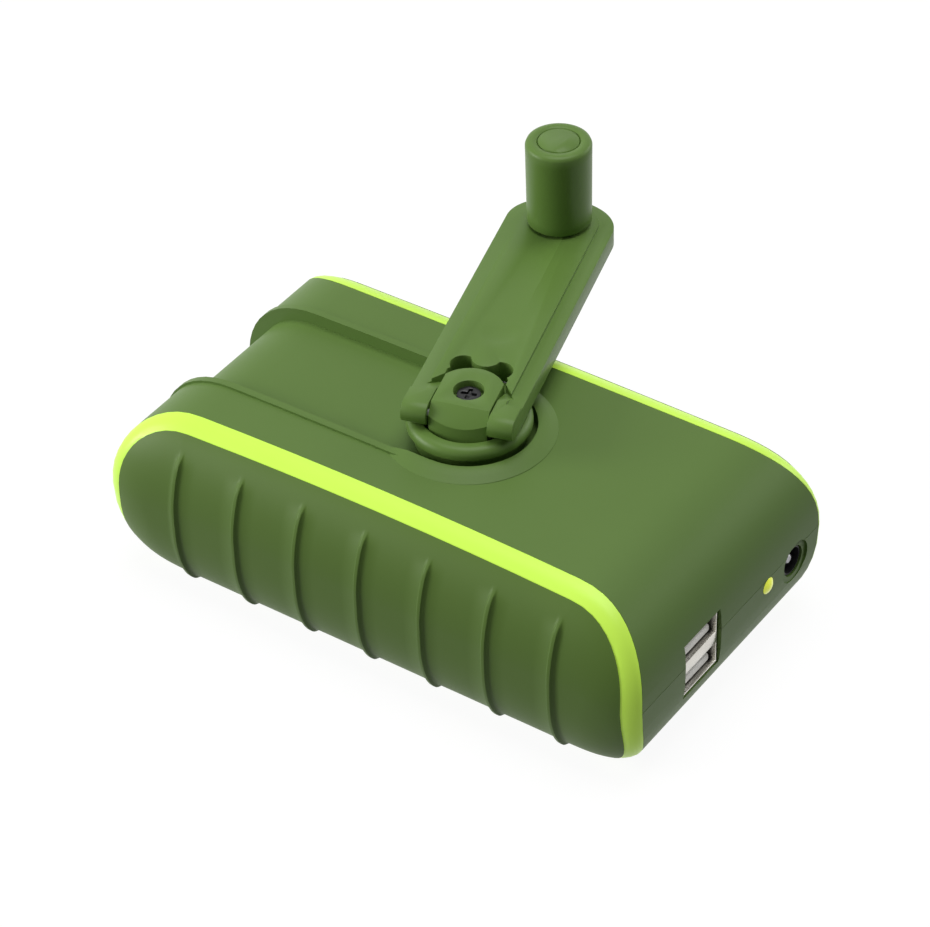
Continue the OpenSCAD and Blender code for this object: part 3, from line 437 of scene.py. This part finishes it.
def solder_mask(name, cell_mm=12, weave_mm=0.6):
    """Glass-fibre board under green solder mask, with faint tracks showing through."""
    material, tree, place = start_material(name)
    cells = add(
        tree,
        "ShaderNodeTexBrick",
        {
            "Color1": linear("#14532a"),
            "Color2": linear("#185c30"),
            "Mortar": linear("#2f8a4c"),
            "Scale": repeats(cell_mm),
            "Mortar Size": 0.02,
        },
        {"Vector": place},
    )
    weave = add(tree, "ShaderNodeTexNoise", {"Scale": repeats(weave_mm)}, {"Vector": place})
    shine = add(
        tree,
        "ShaderNodeMapRange",
        {"To Min": 0.3, "To Max": 0.42},
        {"Value": weave.outputs["Fac"]},
    )
    close_material(
        tree,
        {"IOR": 1.5, "Coat Weight": 0.4},
        {"Base Color": cells.outputs["Color"], "Roughness": shine.outputs["Result"]},
    )
    return material


def shrink_film(name, code, ripple_mm=7):
    """PVC sleeve shrunk on a cell: glossy, with slight ripples."""
    material, tree, place = start_material(name)
    ripple = add(
        tree, "ShaderNodeTexNoise", {"Scale": repeats(ripple_mm), "Detail": 1.0}, {"Vector": place}
    ).outputs["Fac"]
    tint = add(
        tree,
        "ShaderNodeMix",
        {"data_type": "RGBA", MIX_FIRST: linear(code), MIX_SECOND: linear("#24589c")},
        {MIX_FACTOR: ripple},
    )
    bump = add(
        tree, "ShaderNodeBump", {"Strength": 0.2, "Distance": 0.05 * MM}, {"Height": ripple}
    )
    close_material(
        tree,
        {"Roughness": 0.22, "IOR": 1.54},
        {"Base Color": tint.outputs[MIX_RESULT], "Normal": bump.outputs["Normal"]},
    )
    return material


def tinted_acrylic(name, colour, haze_mm=0.8):
    """Tinted acrylic light pipe: clear, glossy, and lit a little from behind."""
    material, tree, place = start_material(name)
    haze = add(tree, "ShaderNodeTexNoise", {"Scale": repeats(haze_mm)}, {"Vector": place})
    tint = add(
        tree,
        "ShaderNodeMix",
        {"data_type": "RGBA", MIX_FIRST: colour, MIX_SECOND: linear("#e8f02a")},
        {MIX_FACTOR: haze.outputs["Fac"]},
    ).outputs[MIX_RESULT]
    close_material(
        tree,
        {"Roughness": 0.12, "IOR": 1.49, "Coat Weight": 0.5, "Emission Strength": 0.45},
        {"Base Color": tint, "Emission Color": tint},
    )
    return material


def make_finishes():
    """All finishes, by the name of the record's material slot."""
    c = colours()
    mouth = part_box("usb_shell")[1][0] + sizes().mouth_reach
    return {
        "shell": moulded_plastic(
            "Moulded ABS, olive", c.shell, c.shell_cloud, rough=0.44, gloss=0.18
        ),
        "side_cap": moulded_plastic(
            "Moulded ABS, dark olive", c.cap, c.cap_cloud, rough=0.47, gloss=0.18
        ),
        "crank": moulded_plastic(
            "Moulded ABS, crank olive",
            c.crank,
            c.crank_cloud,
            rough=0.38,
            grain_mm=0.4,
            depth_mm=0.008,
            gloss=0.2,
        ),
        # The lime has a painted glow: emission that lightens it where it lies in shade.
        "trim": moulded_plastic(
            "Moulded ABS, lime",
            c.trim,
            c.trim_cloud,
            rough=0.34,
            grain_mm=0.4,
            depth_mm=0.006,
            glow=0.2,
        ),
        "steel": turned_metal("Turned steel", "#a9a9ad"),
        "nickel": plated_sheet("Nickel-plated sheet", "#dedbd4", mouth),
        # Pressed powder, full of pores: duller than cut bar.
        "bronze": turned_metal("Sintered bronze", "#a9793c", rough=0.42),
        "winding": enamelled_wire("Enamelled copper", "#b4602a"),
        "cell": shrink_film("PVC shrink film", "#1b4482"),
        # Soft rubber: matt, with a coarser skin.
        "lead": moulded_plastic(
            "Silicone insulation, red",
            linear("#a81410"),
            linear("#941210"),
            rough=0.5,
            grain_mm=0.6,
        ),
        "board": solder_mask("Solder mask, green"),
        # Pressed, fired and ground: near black, with a dull half-metallic shine.
        "ferrite": turned_metal("Ground ferrite", "#3a3b3f", rough=0.45, metallic=0.5),
        "black_plastic": moulded_plastic(
            "Moulded nylon, black", linear("#151516"), linear("#1c1c1d"), rough=0.46
        ),
        # Glass-filled and milky, with a painted glow: emission that lightens the tongues in the
        # shade of the sockets.
        "pale_plastic": moulded_plastic(
            "Moulded LCP, ivory",
            linear("#e4e3dd"),
            linear("#eeede8"),
            rough=0.36,
            grain_mm=0.5,
            depth_mm=0.006,
            gloss=0.4,
            glow=0.2,
        ),
        # Waxy and off-white, with a smoother skin than the case.
        "gear": moulded_plastic(
            "Moulded acetal, natural",
            linear("#e2dfd4"),
            linear("#ece9e0"),
            rough=0.36,
            grain_mm=0.5,
            depth_mm=0.004,
        ),
        # A thin oxide on steel: dark, with a soft shine instead of a mirror's.
        "black_screw": turned_metal("Black oxide steel", "#17171a", metallic=0.35),
        "indicator": tinted_acrylic("Tinted acrylic, yellow green", c.indicator),
    }


FINISHES = {}


def finish_piece(piece, slot):
    """Gives a piece the finish of one of the record's slots."""
    if slot not in FINISHES:
        FINISHES.update(make_finishes())
    piece.data.materials.clear()
    piece.data.materials.append(FINISHES[slot])


def slot_of(node):
    for part in frame["record"]["subparts"]:
        if part["node"] == node:
            return part["material_slot"]
    raise ValueError(f"no slot for {node}")


def only(piece):
    """Leaves one object selected and active."""
    bpy.ops.object.select_all(action="DESELECT")
    piece.select_set(True)
    bpy.context.view_layer.objects.active = piece


def edit_all(piece):
    """Opens a piece for editing, with all of it selected."""
    only(piece)
    bpy.ops.object.mode_set(mode="EDIT")
    bpy.ops.mesh.select_all(action="SELECT")


def leave_edit():
    bpy.ops.object.mode_set(mode="OBJECT")


def apply_modifier(piece, kind, **settings):
    only(piece)
    modifier = piece.modifiers.new(kind.title(), kind)
    for key, value in settings.items():
        setattr(modifier, key, value)
    bpy.ops.object.modifier_apply(modifier=modifier.name)


def smooth(piece, angle=SHARP):
    only(piece)
    bpy.ops.object.shade_smooth_by_angle(angle=angle)


def copy_of(node, name):
    """A merged copy of a CAD node's mesh, ready to be shaped further."""
    only(frame["nodes"][node])
    bpy.ops.object.duplicate(linked=False)
    piece = bpy.context.active_object
    piece.parent = None
    piece.name = name
    piece.data.name = name
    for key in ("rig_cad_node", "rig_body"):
        if key in piece:
            del piece[key]
    only(piece)
    bpy.ops.mesh.customdata_custom_splitnormals_clear()
    edit_all(piece)
    bpy.ops.mesh.remove_doubles(threshold=MERGE)
    leave_edit()
    return piece


def select_ends(piece, *sides):
    """Selects flat ends of a turned piece, which lies along its own Z: 1 for the front, -1 for the
    back."""
    bpy.ops.mesh.select_all(action="DESELECT")
    mesh = bmesh.from_edit_mesh(piece.data)
    for face in mesh.faces:
        if len(face.verts) == TURN_STEPS and round(face.normal.z) in sides:
            face.select_set(True)
    bmesh.update_edit_mesh(piece.data)


def turned(name, place, start, end, radius, edge, bore=0.0):
    """A rod along X, from start to end in front of a place, with a chamfered front rim. With a
    bore it is a sleeve."""
    bpy.ops.object.select_all(action="DESELECT")
    bpy.ops.mesh.primitive_cylinder_add(
        vertices=TURN_STEPS,
        radius=radius,
        depth=end - start,
        calc_uvs=False,
        location=(place[0] + (start + end) / 2, place[1], place[2]),
        rotation=(0, math.radians(90), 0),
    )
    piece = bpy.context.active_object
    piece.name = name
    piece.data.name = name
    edit_all(piece)
    bpy.ops.mesh.select_mode(type="FACE")
    select_ends(piece, 1)
    bpy.ops.mesh.bevel(offset=edge, affect="EDGES")
    if bore:
        for side, rim in ((1, radius - edge), (-1, radius)):
            select_ends(piece, side)
            bpy.ops.mesh.inset(thickness=rim - bore)
        select_ends(piece, 1, -1)
        bpy.ops.mesh.bridge_edge_loops()
    bpy.ops.mesh.select_all(action="SELECT")
    bpy.ops.mesh.normals_make_consistent(inside=False)
    leave_edit()
    smooth(piece)
    return piece


def softened(node, name, width, segments=2):
    """A copy of a CAD node whose sharp edges are rounded like a moulding's."""
    piece = copy_of(node, name)
    edit_all(piece)
    bpy.ops.mesh.dissolve_limited(angle_limit=FLAT)
    leave_edit()
    apply_modifier(
        piece,
        "BEVEL",
        width=width,
        segments=segments,
        limit_method="ANGLE",
        angle_limit=BEVELLED,
        use_clamp_overlap=True,
        miter_outer="MITER_ARC",
    )
    smooth(piece)
    return piece


def place_piece(piece, body, slot, *nodes):
    """Puts a finished piece on its body, with its slot and the nodes that it stands for."""
    only(piece)
    bpy.ops.object.transform_apply(location=True, rotation=True, scale=True)
    finish_piece(piece, slot)
    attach(piece, body)
    if nodes:
        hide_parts(*nodes)


class POWERBANK_OT_case(Operator):
    """Smooths the two case halves"""

    bl_idname = "powerbank.case"
    bl_label = "Case halves"

    def execute(self, context):
        for node in ("upper_shell", "lower_shell"):
            piece = copy_of(node, node + "_moulding")
            smooth(piece)
            place_piece(piece, "case", "shell", node)
        return {"FINISHED"}


class POWERBANK_OT_trims(Operator):
    """Smooths the two lime loops"""

    bl_idname = "powerbank.trims"
    bl_label = "Trims"

    def execute(self, context):
        for node in ("trim_front", "trim_rear"):
            piece = copy_of(node, node + "_loop")
            smooth(piece, SHARP_TRIM)
            place_piece(piece, "case", "trim", node)
        return {"FINISHED"}


class POWERBANK_OT_side_caps(Operator):
    """Rounds the bulging side caps and their ribs"""

    bl_idname = "powerbank.side_caps"
    bl_label = "Side caps"

    def execute(self, context):
        levels = sizes().rib_levels
        for node, side in (("cap_front", -1), ("cap_rear", 1)):
            piece = copy_of(node, node + "_moulding")
            edit_all(piece)
            bpy.ops.mesh.tris_convert_to_quads(face_threshold=QUADS, shape_threshold=QUADS)
            leave_edit()
            self.hold_seam(piece, side)
            apply_modifier(piece, "SUBSURF", levels=levels, render_levels=levels)
            smooth(piece, SHARP_ROUND)
            place_piece(piece, "case", "side_cap", node)
        return {"FINISHED"}

    def hold_seam(self, piece, side):
        """Keeps the edge beside the trim and the hidden side sharp, and the ribs crisp."""
        mesh = bmesh.new()
        mesh.from_mesh(piece.data)
        layers = mesh.edges.layers.float
        crease = layers.get("crease_edge") or layers.new("crease_edge")
        for edge in mesh.edges:
            facing = [face.normal.y * side for face in edge.link_faces]
            start, end = (vertex.co for vertex in edge.verts)
            if min(facing) < HIDDEN:
                edge[crease] = 1.0
            elif abs(start.x - end.x) < RIB_TRUE and abs(start.x) < RIB_REACH:
                edge[crease] = sizes().rib_crease
        mesh.to_mesh(piece.data)
        mesh.free()


class POWERBANK_OT_crank(Operator):
    """Rounds the edges of the hub and the arm"""

    bl_idname = "powerbank.crank"
    bl_label = "Hub and arm"

    def execute(self, context):
        hub = softened("crank_hub", "hub_moulding", sizes().hub_edge)
        place_piece(hub, "crank", "crank", "crank_hub")
        arm = softened("crank_arm", "arm_moulding", sizes().arm_edge)
        place_piece(arm, "arm", "crank", "crank_arm")
        return {"FINISHED"}


class POWERBANK_OT_knob(Operator):
    """Smooths the turning knob and its plug"""

    bl_idname = "powerbank.knob"
    bl_label = "Knob"

    def execute(self, context):
        for node in ("knob", "knob_cap"):
            piece = copy_of(node, node + "_moulding")
            smooth(piece, SHARP_ROUND)
            place_piece(piece, "grip", "crank", node)
        return {"FINISHED"}


class POWERBANK_OT_hub_screw(Operator):
    """Rounds the edges of the cross-recess screw in the hub"""

    bl_idname = "powerbank.hub_screw"
    bl_label = "Hub screw"

    def execute(self, context):
        piece = softened("hub_screw", "hub_screw_turned", sizes().screw_edge)
        place_piece(piece, "crank", "black_screw", "hub_screw")
        return {"FINISHED"}


class POWERBANK_OT_usb(Operator):
    """Rounds the edges of the USB shell and of its two tongues"""

    bl_idname = "powerbank.usb"
    bl_label = "USB sockets"

    def execute(self, context):
        shell = softened("usb_shell", "usb_shell_sheet", sizes().sheet_edge)
        self.bring_forward(shell, "usb_shell")
        place_piece(shell, "case", "nickel", "usb_shell")
        tongues = softened(
            "usb_tongues", "usb_tongues_moulding", sizes().tongue_edge, segments=3
        )
        self.bring_forward(tongues, "usb_tongues")
        place_piece(tongues, "case", "pale_plastic", "usb_tongues")
        return {"FINISHED"}

    def bring_forward(self, piece, node):
        """Lets the front end of a piece reach a little further towards the window."""
        behind_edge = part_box(node)[1][0] - 2 * sizes().tongue_edge
        for vertex in piece.data.vertices:
            if vertex.co.x > behind_edge:
                vertex.co.x += sizes().mouth_reach


class POWERBANK_OT_barrel_socket(Operator):
    """Turns the barrel socket's nose, which fills its hole in the case, and the tip of its pin"""

    bl_idname = "powerbank.barrel_socket"
    bl_label = "Barrel socket"

    def execute(self, context):
        s = sizes()
        low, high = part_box("dc_jack_body")
        half = (high[1] - low[1]) / 2
        place = (high[0], low[1] + half, high[2] - half)
        nose = turned(
            "barrel_socket_nose", place, 0, s.nose_length, s.nose_radius, s.nose_edge, s.nose_bore
        )
        place_piece(nose, "case", "black_plastic")

        pin_low, pin_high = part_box("dc_jack_pin")
        radius = (pin_high[2] - pin_low[2]) / 2
        start = pin_high[0] - high[0] - 2 * s.nose_edge
        end = s.nose_length - s.pin_depth
        tip = turned("barrel_socket_pin_tip", place, start, end, radius, s.nose_edge)
        place_piece(tip, "case", "steel")
        return {"FINISHED"}


class POWERBANK_OT_inner_parts(Operator):
    """Gives every CAD part the finish of its slot"""

    bl_idname = "powerbank.inner_parts"
    bl_label = "Inner parts"

    def execute(self, context):
        for name, part in frame["nodes"].items():
            finish_piece(part, slot_of(name))
        return {"FINISHED"}


class POWERBANK_OT_stage(Operator):
    """Sets the floor, the light and the camera"""

    bl_idname = "powerbank.stage"
    bl_label = "Stage"

    def execute(self, context):
        self.floor()
        self.world()
        self.lights()
        self.camera()
        context.scene.view_settings.view_transform = "Standard"
        return {"FINISHED"}

    def floor(self):
        """White paper that keeps a soft shadow, and sends little of its light back up."""
        bpy.ops.object.select_all(action="DESELECT")
        bpy.ops.mesh.primitive_plane_add(size=FLOOR_SIZE, location=(0, 0, FLOOR_HEIGHT))
        floor = bpy.context.active_object
        floor.name = "studio_floor"
        material, tree, place = start_material("Matt white paper")
        fibre = add(tree, "ShaderNodeTexNoise", {"Scale": repeats(1.5)}, {"Vector": place})
        seen_tint = add(
            tree,
            "ShaderNodeMix",
            {"data_type": "RGBA", MIX_FIRST: linear("#5e5e5e"), MIX_SECOND: linear("#606060")},
            {MIX_FACTOR: fibre.outputs["Fac"]},
        )
        seen_part = add(
            tree, "ShaderNodeBsdfDiffuse", links={"Color": seen_tint.outputs[MIX_RESULT]}
        )
        glow = add(tree, "ShaderNodeEmission", {"Color": (1, 1, 1, 1), "Strength": 0.93})
        seen = add(
            tree, "ShaderNodeAddShader", links={0: seen_part.outputs[0], 1: glow.outputs[0]}
        )
        bounce = add(tree, "ShaderNodeBsdfDiffuse", {"Color": linear("#6c6c6c")})
        both = add(
            tree,
            "ShaderNodeMixShader",
            links={0: self.seen_rays(tree), 1: bounce.outputs[0], 2: seen.outputs[0]},
        )
        add(tree, "ShaderNodeOutputMaterial", links={"Surface": both.outputs[0]})
        floor.data.materials.append(material)

    def seen_rays(self, tree):
        """1 for rays that see the background: from the camera, in a reflection or through glass."""
        path = add(tree, "ShaderNodeLightPath")
        seen = path.outputs["Is Camera Ray"]
        for kind in ("Is Glossy Ray", "Is Transmission Ray"):
            seen = add(
                tree, "ShaderNodeMath", {"operation": "MAXIMUM"}, {0: seen, 1: path.outputs[kind]}
            ).outputs[0]
        return seen

    def world(self):
        """A faint even light on the object, behind a background that is seen as white."""
        world = bpy.data.worlds.new("White studio")
        bpy.context.scene.world = world
        world.use_nodes = True
        tree = world.node_tree
        tree.nodes.clear()
        light = add(
            tree, "ShaderNodeBackground", {"Color": (1, 1, 1, 1), "Strength": studio().sky}
        )
        white = add(tree, "ShaderNodeBackground", {"Color": (1, 1, 1, 1), "Strength": 1.0})
        both = add(
            tree,
            "ShaderNodeMixShader",
            links={0: self.seen_rays(tree), 1: light.outputs[0], 2: white.outputs[0]},
        )
        add(tree, "ShaderNodeOutputWorld", links={"Surface": both.outputs[0]})

    def lights(self):
        for name, place, size, setting in LAMPS:
            bpy.ops.object.light_add(type="AREA", location=place)
            lamp = bpy.context.active_object
            lamp.name = name
            lamp.data.size = size
            lamp.data.energy = getattr(studio(), setting)
            aim = STUDIO_CENTRE - Vector(place)
            lamp.rotation_euler = aim.to_track_quat("-Z", "Y").to_euler()

    def camera(self):
        """A long lens, at the photograph's viewing angle."""
        s = studio()
        a, e, roll = s.azimuth, s.elevation, s.roll
        back = Vector((math.sin(a) * math.cos(e), -math.cos(a) * math.cos(e), math.sin(e)))
        side = Vector((math.cos(a), math.sin(a), 0))
        up = back.cross(side)
        right = side * math.cos(roll) + up * math.sin(roll)
        top = up * math.cos(roll) - side * math.sin(roll)
        turn = Matrix((right, top, back)).transposed().to_4x4()
        bpy.ops.object.camera_add()
        camera = bpy.context.active_object
        camera.name = "photo_camera"
        camera.matrix_world = Matrix.Translation(CAMERA_PLACE) @ turn
        camera.data.sensor_fit = "HORIZONTAL"
        camera.data.sensor_width = 36
        camera.data.lens = s.lens
        camera.data.clip_start = 0.01
        camera.data.clip_end = 20
        bpy.context.scene.camera = camera


STEPS = (
    POWERBANK_OT_inner_parts,
    POWERBANK_OT_case,
    POWERBANK_OT_trims,
    POWERBANK_OT_side_caps,
    POWERBANK_OT_crank,
    POWERBANK_OT_knob,
    POWERBANK_OT_hub_screw,
    POWERBANK_OT_usb,
    POWERBANK_OT_barrel_socket,
    POWERBANK_OT_stage,
)


class POWERBANK_PT_panel(Panel):
    """Lists the settings and the steps of the power bank"""

    bl_idname = "POWERBANK_PT_panel"
    bl_label = "Power Bank"
    bl_space_type = "VIEW_3D"
    bl_region_type = "UI"
    bl_category = "Power Bank"

    def draw(self, context):
        for group in (sizes(), colours(), studio()):
            for key in group.bl_rna.properties.keys():
                if key not in ("rna_type", "name"):
                    self.layout.prop(group, key)
        for step in STEPS:
            self.layout.operator(step.bl_idname)


CLASSES = (PowerBankSizes, PowerBankColours, PowerBankStudio) + STEPS + (POWERBANK_PT_panel,)


def register():
    for cls in CLASSES:
        bpy.utils.register_class(cls)
    bpy.types.Scene.power_bank_sizes = PointerProperty(type=PowerBankSizes)
    bpy.types.Scene.power_bank_colours = PointerProperty(type=PowerBankColours)
    bpy.types.Scene.power_bank_studio = PointerProperty(type=PowerBankStudio)


def unregister():
    del bpy.types.Scene.power_bank_studio
    del bpy.types.Scene.power_bank_colours
    del bpy.types.Scene.power_bank_sizes
    for cls in reversed(CLASSES):
        bpy.utils.unregister_class(cls)


def main():
    register()
    for step in STEPS:
        group, name = step.bl_idname.split(".")
        getattr(getattr(bpy.ops, group), name)()


if __name__ == "__main__":
    main()
